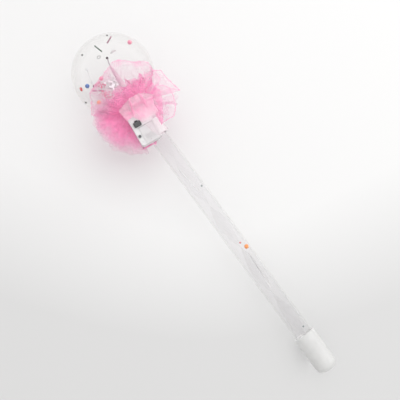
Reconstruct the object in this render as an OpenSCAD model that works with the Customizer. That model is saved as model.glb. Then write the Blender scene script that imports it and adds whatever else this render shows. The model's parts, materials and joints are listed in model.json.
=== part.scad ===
// Light-up globe wand with a gathered tulle frill, lying on a table. Millimetres, +Z up.
// Pieces are drawn along the wand: z is its axis, 0 at the globe's centre and + toward the globe's
// top, x is the front that carries the battery box, and y is the right-hand side seen from the front.
// lay() then tips the wand so that the globe and the end cap both touch the table.

/* [Globe] */
// Outside diameter of the clear globe
globe_d = 90; // [80:1:100]
// Wall of the globe and of its neck
globe_wall = 1.2; // [0.8:0.1:1.6]
// Length of the neck below the globe
neck_l = 12; // [9:1:16]
// Height of the cone on the plug in the neck
cone_h = 53; // [45:1:60]
// Lean of the cone to the right, in degrees
cone_lean = 3.6; // [2:0.2:5]
// Diameter of a bead in the globe
bead_d = 5; // [3:0.5:6]
// Length of a small rod in the globe
rod_l = 14; // [6:0.5:16]
// Diameter of a small rod in the globe
rod_d = 1.6; // [1:0.1:2.5]
// Diameter of a seed bead
seed_d = 2; // [1.2:0.1:2.6]
// Number of seed beads
seed_count = 14; // [6:1:18]
// Number of foil flakes
flake_count = 9; // [4:1:14]

/* [Lights] */
// Diameter of the twin light wire
wire_d = 1.2; // [0.8:0.1:1.6]
// Diameter of the wire that the light drops sit on
string_d = 0.8; // [0.6:0.1:1.2]
// Diameter of a clear light drop
drop_d = 3.6; // [2.4:0.2:4.4]

/* [Stick] */
// Length of the whole wand, from the globe's top to the end of the cap
wand_l = 440; // [380:5:520]
// Outside diameter of the clear tube
tube_d = 20; // [18:0.5:22]
// Wall of the tube
tube_wall = 1; // [0.8:0.1:1.5]
// Length of the end cap
cap_l = 46; // [36:1:60]
// Wall of the cap round the tube
cap_wall = 2; // [1.5:0.1:3]
// Depth of the cap's socket
cap_socket = 24; // [15:1:30]
// Thickness of the cap's closed end
cap_floor = 3; // [2:0.5:5]
// Radius of the round on the cap's end
cap_round = 8; // [4:0.5:10]
// Gap between the clear film strip's edges and the tube's wall
film_gap = 2.6; // [2.4:0.1:5]
// Turns that the film strip makes
film_turns = 2.5; // [1:0.5:4]

/* [Battery box] */
// Width of the box, across the wand
box_w = 24; // [22:0.5:34]
// Length of the box, along the wand
box_l = 36; // [33:0.5:44]
// Thickness of the box
box_t = 12.5; // [11.5:0.5:16]
// Wall of the box
box_wall = 1.5; // [1:0.1:1.8]
// Radius of the box's corners
box_round = 3; // [2:0.5:4]
// Shift of the box's upper end to the left of the wand's axis
box_shift = 6.4; // [4:0.2:9]
// Turn of the box's lower end to the left, in degrees
box_turn = 6; // [0:0.5:10]
// Length of the fixed face that holds the switch
face_l = 16.5; // [14.5:0.5:18]
// Width of the fixed strip beside the cover
strip_w = 5.2; // [4.8:0.1:6]
// Thickness of the cover
cover_t = 1.6; // [1.3:0.1:2]
// Gap round the cover and the knob
moving_gap = 0.3; // [0.2:0.05:0.4]
// Diameter of a button cell
cell_d = 7.9; // [6.8:0.1:8.2]
// Thickness of a button cell
cell_t = 3.6; // [2.6:0.1:5]
// Width of the switch knob
knob_w = 8; // [6:0.5:9]
// Length of the switch knob along its travel
knob_l = 5.5; // [4:0.5:6]
// Travel of the switch knob
knob_travel = 3; // [2:0.5:4]

/* [Tulle] */
// Thickness of one layer as it is bulked by its folds
tulle_t = 0.8; // [0.6:0.1:1]
// Thickness of the gathered ring on the tube
gather_t = 3; // [2:0.25:4]
// Length of the gathered ring along the tube
gather_l = 7.6; // [7.5:0.1:10]
// Reach of the dense frill in front
frill_l = 37; // [25:1:45]
// Reach of the skirt at the left
skirt_l = 43; // [30:1:48]
// Reach of the petal at the right
petal_l = 35; // [25:1:42]
// Height of the collar's folds
collar_fold = 4; // [2:0.5:6]

/* [Hidden] */
$fn = 64;

// Gap of a bonded or pushed fit
bond_gap = 0.05;
// Gap between loose filling and the wall that it clings to
cling_gap = 0.15;
// Overshoot of a cut past a face
cut = 1;

globe_r = globe_d / 2;
globe_in_r = globe_r - globe_wall;
tube_r = tube_d / 2;
tube_in_r = tube_r - tube_wall;

// Neck of the globe, inside the tube, and the plug in the neck
neck_r = tube_in_r - bond_gap;
neck_in_r = neck_r - globe_wall;
neck_end = -(globe_r + neck_l);
plug_r = neck_in_r - bond_gap;
plug_flange = 1.5;
plug_top = -globe_in_r;
cone_base_r = plug_r - 2;
cone_tip_r = wire_d / 2 + 0.8;
cone_wall = 0.8;
cone_sink = 0.5;
cone_tip = [0, cone_h * sin(cone_lean), plug_top + cone_h * cos(cone_lean)];
stem_bore_r = wire_d / 2 + 0.5;
wire_gap = 0.15;

// Tube and cap
tube_top = -sqrt(globe_r * globe_r - tube_in_r * tube_in_r) - 0.2;
wand_end = globe_r - wand_l;
cap_top = wand_end + cap_l;
cap_r = tube_r + bond_gap + cap_wall;
tube_end = cap_top - cap_socket + bond_gap;
cap_core_r = tube_in_r - 1;
tube_run = tube_top - cap_top;

// The wand's tilt on the table, from the globe's radius and the round on the cap's end
rest_along = -wand_end - cap_round;
rest_out = cap_r - cap_round;
tilt = asin((globe_r - cap_round) / sqrt(rest_along * rest_along + rest_out * rest_out))
    - atan2(rest_out, rest_along);
reach_back = rest_along * cos(tilt) + rest_out * sin(tilt) + cap_round;
globe_x = (reach_back - globe_r) / 2;

// Gathered ring and its tie
gather_top = -globe_r + 0.4;
gather_end = gather_top - gather_l;
gather_r = tube_r + bond_gap + gather_t;
tie_t = 0.8;
tie_l = 2.2;
tie_top = gather_top - 3.8;
pleats = 24;

// Battery box, from its top end down the wand; its back stands off the tube
box_top = gather_end - 0.6;
box_back = tube_r + 1;
cavity_round = 0.6;
ledge_t = 1.2;
face_t = cover_t + ledge_t;
clip_t = 2;
clip_top = -14;
clip_l = 18;
// Corner of the clip's jaws behind the tube's middle
clip_jaw = tube_r / 2;
// Right side of the pad between the clip and the box
pad_right = box_w / 2 - box_shift - (clip_l - clip_top) * sin(box_turn);

// Cover of the box and the grooves that its tongues slide in
cover_top = -face_l;
cover_left = -box_w / 2 + strip_w;
cover_rim = 2;
cover_right = box_w / 2 - cover_rim;
groove_d = 0.8;
tongue_t = 0.5;
slide_gap = 0.15;

// Row of button cells in the box, from its lower end up
cell_gap = 0.3;
contact_t = 0.4;
cell_y = box_w / 2 - box_wall - cell_gap - cell_d / 2;
cell_x = box_wall + bond_gap + cell_d / 2;
cell_left = cell_y - cell_d / 2 - cell_gap;
stack_end = -box_l + box_wall + contact_t + 2 * bond_gap;
stack_top = stack_end + 3 * cell_t + 2 * bond_gap;
pocket_top = stack_top + contact_t + 2 * bond_gap;
rib_t = 0.8;

// Screw and dimple on the fixed strip
screw_r = 1;
screw_head_r = 1.6;
boss_r = 2;
screw_y = -(box_w / 2 - strip_w / 2 + 0.1);
screw_z = -(face_l + 9);
screw_tip = 4.5;
dimple_r = 0.9;
dimple_h = 0.6;
dimple_z = -(box_l - 4);

// Switch: its knob rests just above the cover and slides toward the globe
switch_y = -(box_w / 2 - 6.65);
knob_margin = 0.95;
switch_z = -(face_l - knob_margin - knob_l / 2);
switch_h = 4;
switch_side = 1.2;
stem_w = 3;
stem_l = 2.4;
slot_l = stem_l + knob_travel + 2 * moving_gap;
slot_z = switch_z + knob_travel / 2;
knob_h = 2;

// Way of the light wire from the tube into the box
lead_y = -box_shift / 2;
lead_z = neck_end - plug_flange - 4;

// Filling on the globe's wall: angle from the globe's top, then angle round the axis from the front
blue_place = [72, -134];
red_place = [75, -113];
orange_place = [104, -135];
pink_places = [[62, 93], [71, -166]];
green_place = [26, 162, 0];
mauve_places = [[31, 111, 93], [85, -151, -66]];
dark_places = [[100, -96], [29, 70], [22, -120], [76, -148]];
seed_place = [103, -161];
flake_place = [84, -178];

// Filling in the tube: share of the way from the tube's top to the cap, then angle round the axis
tube_orange_place = [0.634, 90];
tube_red_place = [0.61, 18];
tube_dark_places = [[0.368, 44], [0.975, 30]];

// Routes of the wires, chosen by hand
light_route = [
    [box_back + 6, lead_y, lead_z], [box_back - 2, lead_y, lead_z], [5, lead_y, lead_z],
    [1.2, lead_y / 3, lead_z + 1], [0, 0, lead_z + 3.5], [0, 0, neck_end], [0, 0, plug_top],
    cone_tip, cone_tip + [0, 0.35, 2.8],
    cone_tip + [0, 1.1, 5.6], cone_tip + [0, 2.1, 8.3]
];
string_hole = [0, -(cone_base_r + 1)];
// The rest of the string: angle from the globe's top, angle round the axis, lift off the wall
string_places = [
    [160, -112, 8], [146, -128, 6.5], [122, -140, 5.5], [102, -146, 4.8], [84, -148, 4], [70, -147, 3.5],
    [58, -146, 3], [48, -144, 3]
];
string_route = concat(
    [for (z = [-6, -3, 0, 3]) [0, string_hole.y, plug_top + z]],
    [for (p = string_places) wall_point(p, globe_in_r - p.z)]
);
drop_steps = [28, 36, 44];

function unit(v) = v / norm(v);

// A point r from the globe's centre, from its angles off the globe's top and round the axis
function wall_point(place, r) =
    r * [sin(place.x) * cos(place.y), sin(place.x) * sin(place.y), cos(place.x)];

// A smooth line through the points p, with n steps between two of them
function smooth(p, n) = let (last = len(p) - 1) [
    for (i = [0 : last - 1], k = [0 : n - 1])
        let (a = p[max(i - 1, 0)], b = p[i], c = p[i + 1], d = p[min(i + 2, last)], t = k / n)
        0.5 * (2 * b + (c - a) * t + (2 * a - 5 * b + 4 * c - d) * t * t
            + (3 * b - a - 3 * c + d) * t * t * t),
    p[last]
];

// A round wire of diameter d along the points p; ref is a direction that the wire never follows
module wire(p, d, ref) {
    sides = 8;
    last = len(p) - 1;
    rings = [
        for (i = [0 : last])
            let (
                t = unit(p[min(i + 1, last)] - p[max(i - 1, 0)]),
                a = unit(cross(t, ref)),
                b = cross(t, a)
            )
            for (k = [0 : sides - 1])
                p[i] + d / 2 * (cos(360 * k / sides) * a + sin(360 * k / sides) * b)
    ];
    sheath = [
        for (i = [0 : last - 1], k = [0 : sides - 1])
            let (a = i * sides + k, b = i * sides + (k + 1) % sides)
            each [[b + sides, b, a], [a + sides, b + sides, a]]
    ];
    ends = [
        [for (k = [0 : sides - 1]) k],
        [for (k = [sides - 1 : -1 : 0]) last * sides + k]
    ];
    polyhedron(rings, concat(sheath, ends));
}

// A layer of cloth of thickness t on the grid g of points; ring joins its first and last rows
module cloth(g, t, ring = false) {
    nu = len(g);
    nv = len(g[0]);
    rows = ring ? nu : nu - 1;
    half = nu * nv;
    normals = [
        for (i = [0 : nu - 1], j = [0 : nv - 1])
            let (
                i0 = ring ? (i + nu - 1) % nu : max(i - 1, 0),
                i1 = ring ? (i + 1) % nu : min(i + 1, nu - 1)
            )
            unit(cross(g[i1][j] - g[i0][j], g[i][min(j + 1, nv - 1)] - g[i][max(j - 1, 0)]))
    ];
    mid = [for (i = [0 : nu - 1], j = [0 : nv - 1]) g[i][j]];
    points = concat(
        [for (k = [0 : half - 1]) mid[k] + normals[k] * t / 2],
        [for (k = [0 : half - 1]) mid[k] - normals[k] * t / 2]
    );
    function at(i, j) = (i % nu) * nv + j;
    faces = [
        for (i = [0 : rows - 1], j = [0 : nv - 2])
            let (a = at(i, j), b = at(i + 1, j), c = at(i + 1, j + 1), d = at(i, j + 1))
            each [[c, b, a], [d, c, a], [half + a, half + b, half + c], [half + a, half + c, half + d]]
    ];
    rims = [
        for (i = [0 : rows - 1])
            let (a = at(i, 0), b = at(i + 1, 0), c = at(i, nv - 1), d = at(i + 1, nv - 1))
            each [[a, b, half + b], [a, half + b, half + a], [d, c, half + c], [d, half + c, half + d]]
    ];
    sides = ring ? [] : [
        for (j = [0 : nv - 2])
            let (a = at(0, j), b = at(0, j + 1), c = at(nu - 1, j), d = at(nu - 1, j + 1))
            each [[b, a, half + a], [b, half + a, half + b], [c, d, half + d], [c, half + d, half + c]]
    ];
    polyhedron(points, concat(faces, rims, sides));
}

// Puts a point of the wand that would lie below the table on it, lift above
function on_table(p, lift) =
    [max(p.x, -(globe_r + p.z * sin(tilt) - lift) / cos(tilt)), p.y, p.z];

// Tips the drawn wand onto the table, globe toward +X
module lay() {
    translate([globe_x, side_shift, globe_r])
        rotate([0, 90 - tilt, 0])
        rotate([0, 0, 180])
        children();
}

// A shape on the globe's inner wall, with its own z pointing out through the wall
module on_wall(place, lift) {
    rotate([0, place.x, place.y])
        translate([0, 0, globe_in_r - cling_gap - lift])
        children();
}

// A shape on the tube's inner wall, lift from it
module in_tube(place, lift) {
    rotate([0, 0, place.y])
        translate([tube_in_r - cling_gap - lift, 0, tube_top - place.x * tube_run])
        children();
}

// A frame at the battery box's top end: x out of its face, y across it, z along it toward the globe
module in_box() {
    translate([box_back, -box_shift, box_top])
        rotate([-box_turn, 0, 0])
        children();
}

// A rectangle from its lower left corner, with round corners of radius r
module round_rect(a, b, r) {
    translate([r, 0])
        square([a - 2 * r, b]);
    translate([0, r])
        square([a, b - 2 * r]);
    for (x = [r, a - r], y = [r, b - r])
        translate([x, y])
            circle(r);
}

// A slab of the box: from z0 down to z1, from y0 to y1 across and from x0 to x1 deep
module slab(z0, z1, y0, y1, x0, x1, r) {
    translate([x0, 0, 0])
        rotate([0, 90, 0])
        linear_extrude(x1 - x0)
        translate([-z0, y0])
        round_rect(z0 - z1, y1 - y0, r);
}

// A straight-sided slab of the box
module block(z0, z1, y0, y1, x0, x1) {
    translate([x0, y0, z1])
        cube([x1 - x0, y1 - y0, z0 - z1]);
}

// A round peg of the box, along x from x0 to x1
module peg(y, z, r, x0, x1) {
    translate([x0, y, z])
        rotate([0, 90, 0])
        cylinder(r = r, h = x1 - x0);
}

module globe() {
    color([0.93, 0.95, 0.97, 0.35])
        lay()
        difference() {
            union() {
                sphere(globe_r);
                translate([0, 0, neck_end])
                    cylinder(r = neck_r, h = neck_l + globe_wall);
            }
            sphere(globe_in_r);
            translate([0, 0, neck_end - cut])
                cylinder(r = neck_in_r, h = neck_l + 3 * globe_wall + cut);
        }
}

module stem_plug() {
    color([0.9, 0.85, 0.88])
        lay()
        difference() {
            union() {
                translate([0, 0, neck_end - plug_flange])
                    cylinder(r = neck_r, h = plug_flange - bond_gap);
                translate([0, 0, neck_end - plug_flange])
                    cylinder(r = plug_r, h = plug_top - neck_end + plug_flange);
                translate([0, 0, plug_top])
                    rotate([-cone_lean, 0, 0])
                    translate([0, 0, -cone_sink])
                    cylinder(r1 = cone_base_r, r2 = cone_tip_r, h = cone_h + cone_sink);
            }
            translate([0, 0, neck_end - plug_flange - cut])
                cylinder(r = stem_bore_r, h = plug_top - neck_end + plug_flange + 2 * cut);
            translate([0, 0, plug_top])
                rotate([-cone_lean, 0, 0])
                cylinder(r1 = cone_base_r - cone_wall, r2 = wire_d / 2 + 2 * wire_gap, h = cone_h + cut);
            translate([string_hole.x, string_hole.y, plug_top - 8])
                cylinder(r = string_d / 2 + wire_gap, h = 8 + cut);
        }
}

module light_wire() {
    color([0.62, 0.58, 0.62])
        lay()
        wire(smooth(light_route, 3), wire_d, [0, 1, 0.05]);
}

module stem_led() {
    tip = light_route[len(light_route) - 1];
    color([0.35, 0.3, 0.36])
        lay()
        translate(tip + [0, 0.15, 0.15 + wire_d])
        sphere(wire_d * 1.15);
}

module string_wire() {
    color([0.8, 0.8, 0.82])
        lay()
        wire(smooth(string_route, 4), string_d, [1, 0.3, 0]);
}

module led_drops() {
    line = smooth(string_route, 4);
    color([0.95, 0.97, 1])
        lay()
        for (k = drop_steps)
            translate(line[k])
                sphere(drop_d / 2);
}

module bead(place) {
    on_wall(place, bead_d / 2)
        sphere(bead_d / 2);
}

module bead_blue() {
    color([0.33, 0.47, 0.78])
        lay()
        bead(blue_place);
}

// A ring-shaped bead that lies flat on the wall
module bead_red() {
    color([0.85, 0.35, 0.38])
        lay()
        on_wall(red_place, bead_d / 2)
        rotate_extrude()
        translate([bead_d / 2 - rod_d / 2, 0])
        circle(rod_d / 2);
}

module beads_pink() {
    color([0.95, 0.55, 0.68])
        lay()
        for (p = pink_places)
            bead(p);
}

module bead_orange() {
    color([1, 0.5, 0.42])
        lay()
        bead(orange_place);
}

// Small rods that lie on the wall, each turned by its own angle
module rods(places) {
    sag = globe_in_r - sqrt(globe_in_r * globe_in_r - rod_l * rod_l / 4);
    for (p = places)
        on_wall(p, rod_d / 2 + sag)
            rotate([0, 90, p.z])
            cylinder(d = rod_d, h = rod_l, center = true);
}

module rod_green() {
    color([0.42, 0.5, 0.46])
        lay()
        rods([green_place]);
}

module rods_mauve() {
    color([0.6, 0.38, 0.48])
        lay()
        rods(mauve_places);
}

module bits_dark() {
    color([0.25, 0.27, 0.26])
        lay()
        for (p = dark_places)
            on_wall(p, seed_d / 2)
                sphere(seed_d / 2);
}

// A spiral of n places on the wall round a middle one, step degrees wide
function spread(middle, n, step) = [
    for (k = [0 : n - 1])
        let (turn = 137.5 * k, r = step * sqrt(k))
        [middle.x + r * cos(turn), middle.y + r * sin(turn)]
];

module seed_beads() {
    color([0.98, 0.9, 0.92])
        lay()
        for (p = spread(seed_place, seed_count, 2.7))
            on_wall(p, seed_d / 2)
                sphere(seed_d / 2);
}

module foil_flakes() {
    size = [3.4, 2.2, 0.3];
    color([0.9, 0.88, 0.92])
        lay()
        for (p = spread(flake_place, flake_count, 4.3))
            on_wall(p, size.z)
                rotate([0, 0, 40 * p.x])
                cube(size, center = true);
}

module stick_tube() {
    color([0.93, 0.94, 0.95, 0.4])
        lay()
        difference() {
            translate([0, 0, tube_end])
                cylinder(r = tube_r, h = tube_top - tube_end);
            translate([0, 0, tube_end - cut])
                cylinder(r = tube_in_r, h = tube_top - tube_end + 2 * cut);
            peg(lead_y, lead_z, wire_d / 2 + wire_gap, 0, tube_r + cut);
        }
}

module end_cap() {
    color([0.95, 0.95, 0.95])
        lay()
        difference() {
            translate([0, 0, wand_end])
                rotate_extrude()
                difference() {
                    square([cap_r, cap_l]);
                    translate([cap_r - cap_round, 0])
                        difference() {
                            square(cap_round);
                            translate([0, cap_round])
                                circle(cap_round);
                        }
                }
            translate([0, 0, cap_top - cap_socket])
                cylinder(r = tube_r + bond_gap, h = cap_socket + cut);
            translate([0, 0, wand_end + cap_floor])
                cylinder(r = cap_core_r, h = cap_l - cap_socket - cap_floor + cut);
        }
}

// Clear film strip that turns as it runs down the tube, flat side to the large bead where it lies
module film_twist() {
    film_top = lead_z - 12;
    film_l = film_top - tube_end - 2;
    film_t = 0.4;
    half = tube_in_r - film_gap;
    bead_z = tube_top - tube_orange_place.x * tube_run;
    rows = 60;
    color([0.9, 0.92, 0.95, 0.5])
        lay()
        cloth([
            for (i = [0 : rows])
                let (
                    z = film_top - film_l * i / rows,
                    turn = tube_orange_place.y + 90 + 360 * film_turns * (bead_z - z) / film_l
                )
                [for (side = [-1, 0, 1]) [side * half * cos(turn), side * half * sin(turn), z]]
        ], film_t);
}

module tube_bead_orange() {
    color([0.98, 0.6, 0.35])
        lay()
        in_tube(tube_orange_place, bead_d / 2)
        sphere(bead_d / 2);
}

module tube_bead_red() {
    color([0.8, 0.3, 0.32])
        lay()
        in_tube(tube_red_place, seed_d / 2)
        sphere(seed_d / 2);
}

module tube_bits_dark() {
    color([0.25, 0.3, 0.27])
        lay()
        for (p = tube_dark_places)
            in_tube(p, seed_d / 2)
                sphere(seed_d / 2);
}

module battery_box() {
    half = box_w / 2;
    color([0.96, 0.96, 0.96])
        lay()
        difference() {
            union() {
                in_box()
                    difference() {
                        slab(0, -box_l, -half, half, 0, box_t, box_round);
                        slab(-box_wall, -box_l + box_wall, -half + box_wall, half - box_wall,
                            box_wall, box_t - face_t, cavity_round);
                        block(cover_top, -box_l - cut, cover_left, cover_right, box_t - cover_t, box_t + cut);
                        block(cover_top, -box_l - cut, cover_left - groove_d, cover_right + groove_d,
                            box_t - cover_t, box_t - cover_t + tongue_t + 2 * slide_gap);
                        block(pocket_top, -box_l + box_wall, cell_left, cover_right,
                            box_t - face_t - cut, box_t);
                        block(slot_z + slot_l / 2, slot_z - slot_l / 2,
                            switch_y - stem_w / 2 - moving_gap, switch_y + stem_w / 2 + moving_gap,
                            box_t - face_t - cut, box_t + cut);
                        peg(screw_y, dimple_z, dimple_r, box_t - dimple_h, box_t + cut);
                    }
                in_box() {
                    peg(screw_y, screw_z, boss_r, box_wall - bond_gap, box_t - face_t + bond_gap);
                    block(pocket_top + rib_t, pocket_top, cell_left - rib_t, half - box_wall + bond_gap,
                        box_wall - bond_gap, box_t - face_t + bond_gap);
                    block(pocket_top + bond_gap, -box_l + box_wall - bond_gap, cell_left - rib_t, cell_left,
                        box_wall - bond_gap, box_t - face_t + bond_gap);
                }
                translate([0, 0, box_top + clip_top - clip_l])
                    difference() {
                        cylinder(r = tube_r + clip_t, h = clip_l);
                        translate([-2 * tube_r - clip_jaw, -2 * tube_r, -cut])
                            cube([2 * tube_r, 4 * tube_r, clip_l + 2 * cut]);
                    }
                translate([tube_r / 2, -tube_r, box_top + clip_top - clip_l])
                    cube([box_back - tube_r / 2 + bond_gap, pad_right + tube_r, clip_l]);
            }
            cylinder(r = tube_r + bond_gap, h = 2 * wand_l, center = true);
            peg(lead_y, lead_z, wire_d / 2 + wire_gap, 0, box_back + box_wall + cut);
            in_box()
                peg(screw_y, screw_z, screw_r + bond_gap, screw_tip - cut, box_t + cut);
        }
}

// Cover with a tongue along each side and ribs for a fingertip
module battery_cover() {
    half = box_w / 2;
    under = box_t - cover_t + slide_gap;
    rib_h = 0.5;
    rib_step = 1.6;
    rib_from = 3.8;
    rib_half = 5;
    middle = (cover_left + cover_right) / 2;
    color([0.88, 0.88, 0.89])
        lay()
        in_box()
        intersection() {
            slab(0, -box_l, -half, half, 0, 2 * box_t, box_round);
            union() {
                block(cover_top - moving_gap, -box_l, cover_left + moving_gap, cover_right - moving_gap,
                    under, box_t);
                block(cover_top - moving_gap, -box_l, cover_left - groove_d + moving_gap,
                    cover_right + groove_d - moving_gap, under, under + tongue_t);
                for (k = [0 : 3])
                    block(-box_l + rib_from + rib_step * k + rib_t, -box_l + rib_from + rib_step * k,
                        middle - rib_half, middle + rib_half, box_t - bond_gap, box_t + rib_h);
            }
        }
}

module case_screw() {
    head_h = 0.9;
    slot_w = 0.6;
    color([0.6, 0.6, 0.62])
        lay()
        in_box()
        difference() {
            union() {
                peg(screw_y, screw_z, screw_r, screw_tip, box_t + bond_gap);
                peg(screw_y, screw_z, screw_head_r, box_t + bond_gap, box_t + head_h);
            }
            for (a = [0, 90])
                translate([box_t + head_h, screw_y, screw_z])
                    rotate([a, 0, 0])
                    cube([head_h, 2 * screw_r, slot_w], center = true);
        }
}

// Button cell number k of the row, counted from its lower end, with its stepped top
module button_cell(k) {
    step_t = 0.5;
    step_w = 1;
    color([0.78, 0.78, 0.76])
        lay()
        in_box()
        translate([cell_x, cell_y, stack_end + k * (cell_t + bond_gap)]) {
            cylinder(d = cell_d, h = cell_t - step_t);
            cylinder(d = cell_d - 2 * step_w, h = cell_t);
        }
}

module top_cell() {
    button_cell(2);
}

module middle_cell() {
    button_cell(1);
}

module end_cell() {
    button_cell(0);
}

// Spring plate at one end of the row of cells, from z upward
module contact(z) {
    half = 3;
    color([0.75, 0.7, 0.55])
        lay()
        in_box()
        block(z + contact_t, z, cell_y - half, cell_y + half, box_wall + bond_gap, cell_x + cell_d / 2 - 0.5);
}

module negative_contact() {
    contact(stack_top + bond_gap);
}

module positive_contact() {
    contact(-box_l + box_wall + bond_gap);
}

module switch_body() {
    half_w = stem_w / 2 + moving_gap + switch_side;
    half_l = slot_l / 2 + switch_side;
    top = box_t - face_t - bond_gap;
    color([0.2, 0.2, 0.2])
        lay()
        in_box()
        difference() {
            block(slot_z + half_l, slot_z - half_l, switch_y - half_w, switch_y + half_w,
                top - switch_h, top);
            block(slot_z + slot_l / 2, slot_z - slot_l / 2,
                switch_y - stem_w / 2 - moving_gap, switch_y + stem_w / 2 + moving_gap,
                top - switch_h / 2, top + cut);
        }
}

module switch_knob() {
    rib_w = 0.8;
    rib_h = 0.6;
    under = box_t + moving_gap;
    color([0.08, 0.08, 0.09])
        lay()
        in_box() {
            block(switch_z + stem_l / 2, switch_z - stem_l / 2, switch_y - stem_w / 2,
                switch_y + stem_w / 2, box_t - face_t - switch_h / 2 + moving_gap, under + cut);
            slab(switch_z + knob_l / 2, switch_z - knob_l / 2, switch_y - knob_w / 2,
                switch_y + knob_w / 2, under, under + knob_h, rib_w);
            for (k = [-1 : 1])
                block(switch_z + k * knob_l / 3.4 + rib_w / 2, switch_z + k * knob_l / 3.4 - rib_w / 2,
                    switch_y - knob_w / 2 + rib_w, switch_y + knob_w / 2 - rib_w,
                    under + knob_h - bond_gap, under + knob_h + rib_h);
        }
}

module tulle_gather() {
    valley = 0.7;
    color([0.95, 0.45, 0.65])
        lay()
        difference() {
            translate([0, 0, gather_end])
                linear_extrude(gather_l)
                polygon([
                    for (k = [0 : 2 * pleats - 1])
                        let (r = gather_r - (k % 2) * valley, a = 180 * k / pleats)
                        [r * cos(a), r * sin(a)]
                ]);
            cylinder(r = tube_r + bond_gap, h = 2 * wand_l, center = true);
        }
}

module gather_tie() {
    color([0.98, 0.75, 0.85])
        lay()
        translate([0, 0, tie_top - tie_l])
        difference() {
            cylinder(r = gather_r + bond_gap + tie_t, h = tie_l);
            translate([0, 0, -cut])
                cylinder(r = gather_r + bond_gap, h = tie_l + 2 * cut);
        }
}

// Sheer collar: follows the globe up from the gather, highest in front and lowest at the right,
// with open folds
function collar_point(phi, v) = let (
    first = 14.5,
    last = 60 + 16.5 * cos(phi) + 10.5 * abs(cos(phi)) - 16 * max(sin(phi), 0),
    angle = first + (last - first) * v,
    fold = collar_fold * v * (0.5 + 0.5 * cos(9 * phi)),
    rho = globe_r + tulle_t / 2 + 0.8 + 0.8 * v + fold
) [rho * sin(angle) * cos(phi), rho * sin(angle) * sin(phi), -rho * cos(angle)];

collar_rows = 72;
collar_steps = 7;
collar_grid = [
    for (i = [0 : collar_rows - 1])
        [for (j = [0 : collar_steps]) collar_point(360 * i / collar_rows, j / collar_steps)]
];

module tulle_collar() {
    color([1, 0.68, 0.8, 0.6])
        lay()
        cloth(collar_grid, tulle_t, true);
}

// Distance of a frill's root from the wand's axis, just inside the gather's pleats
root_r = gather_r - 0.3;

// A generator of a frill: leaves the gather nearly square to the tube and ends at the angle rise
function frill_point(phi, v, root_z, reach, rise) = let (
    start = 0.12,
    r = root_r + reach * v * cos(rise),
    z = root_z + reach * (start * v + (sin(rise) - start) * v * v)
) [r * cos(phi), r * sin(phi), z];

frill_spread = 120;
frill_rows = 40;
frill_steps = 6;
frill_grid = [
    for (i = [0 : frill_rows])
        let (phi = frill_spread * (i / frill_rows - 0.5), rise = 10 + 8 * cos(phi) + 11 * sin(15 * phi))
        [for (j = [0 : frill_steps]) frill_point(phi, j / frill_steps, gather_top - 1, frill_l, rise)]
];

module tulle_frill() {
    color([1, 0.45, 0.68, 0.8])
        lay()
        cloth(frill_grid, tulle_t);
}

// Skirt: stands up at the left, goes round below the tube to the right, and lies on the table there
skirt_from = -64;
skirt_to = -258;
skirt_rows = 60;
skirt_steps = 6;
skirt_lift = 0.1 + tulle_t / 2;
// How much shorter the skirt is below the tube and at the right
skirt_trim_under = 9;
skirt_trim_right = 9;
skirt_grid = [
    for (i = [0 : skirt_rows])
        let (
            phi = skirt_from + (skirt_to - skirt_from) * i / skirt_rows,
            reach = skirt_l - skirt_trim_under * pow(cos(phi), 2) - skirt_trim_right * max(sin(phi), 0),
            stand = exp(-pow((phi - skirt_from) / 28, 2)),
            rise = -21 + 9 * cos(phi) + 34 * stand + (22 - 6 * stand) * sin(12 * phi)
        )
        [
            for (j = [0 : skirt_steps])
                let (p = frill_point(phi, j / skirt_steps, tie_top - tie_l - 0.8, reach, rise))
                on_table(p, skirt_lift)
        ]
];

module tulle_skirt() {
    color([1, 0.5, 0.7, 0.8])
        lay()
        cloth(skirt_grid, tulle_t);
}

// Petal at the right: its root runs round the gather, and it turns to face the front as it spreads
function petal_point(u, v) = let (
    phi = 62 + 40 * u,
    lean = 24 - 106 * u,
    reach = petal_l - 6 * u * u,
    bend = v - v * v
) [
    root_r * cos(phi) + 2.6 * v * sin(900 * u),
    root_r * sin(phi) + reach * (v * cos(lean) + 0.4 * bend),
    gather_top - 2.4 + reach * (v * v * sin(lean) + 0.1 * bend)
];

petal_rows = 30;
petal_steps = 6;
petal_grid = [
    for (i = [0 : petal_rows])
        [for (j = [0 : petal_steps]) petal_point(i / petal_rows, j / petal_steps)]
];

module tulle_petal() {
    color([1, 0.72, 0.83, 0.6])
        lay()
        cloth(petal_grid, tulle_t);
}

// Pale loop: rises in front of the gather and falls over the upper end and the right side of the box
loop_half = 14.2;
loop_shift = 6.8;
loop_drop_left = 9;
loop_drop_right = 33.5;
loop_over = 5;
function loop_point(u, v) = let (
    phi = 34 * u,
    w = 1 - v,
    across = w * root_r * sin(phi) + v * (loop_half * u - loop_shift),
    face = box_back + box_t,
    out = w * w * w * root_r * cos(phi) + 3 * w * w * v * (face + loop_over + 1.5)
        + 3 * w * v * v * (face + loop_over + 3) + v * v * v * (face + loop_over),
    hem = loop_drop_left + (loop_drop_right - loop_drop_left) * pow((1 + u) / 2, 2),
    drop = 3 * w * w * v * -2 + 3 * w * v * v * 0.35 * hem + v * v * v * hem
) [out + 1.3 * v * sin(540 * u), across, gather_top - 2.4 - drop];

loop_rows = 20;
loop_steps = 8;

module tulle_loop() {
    color([1, 0.8, 0.88, 0.5])
        lay()
        cloth([
            for (i = [0 : loop_rows])
                [for (j = [0 : loop_steps]) loop_point(2 * i / loop_rows - 1, j / loop_steps)]
        ], tulle_t);
}

// Middle of the tulle across the wand, which lies on the part's middle
tulle_sides = [for (grid = [collar_grid, frill_grid, skirt_grid, petal_grid], row = grid, p = row) p.y];
side_shift = (min(tulle_sides) + max(tulle_sides)) / 2;

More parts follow.
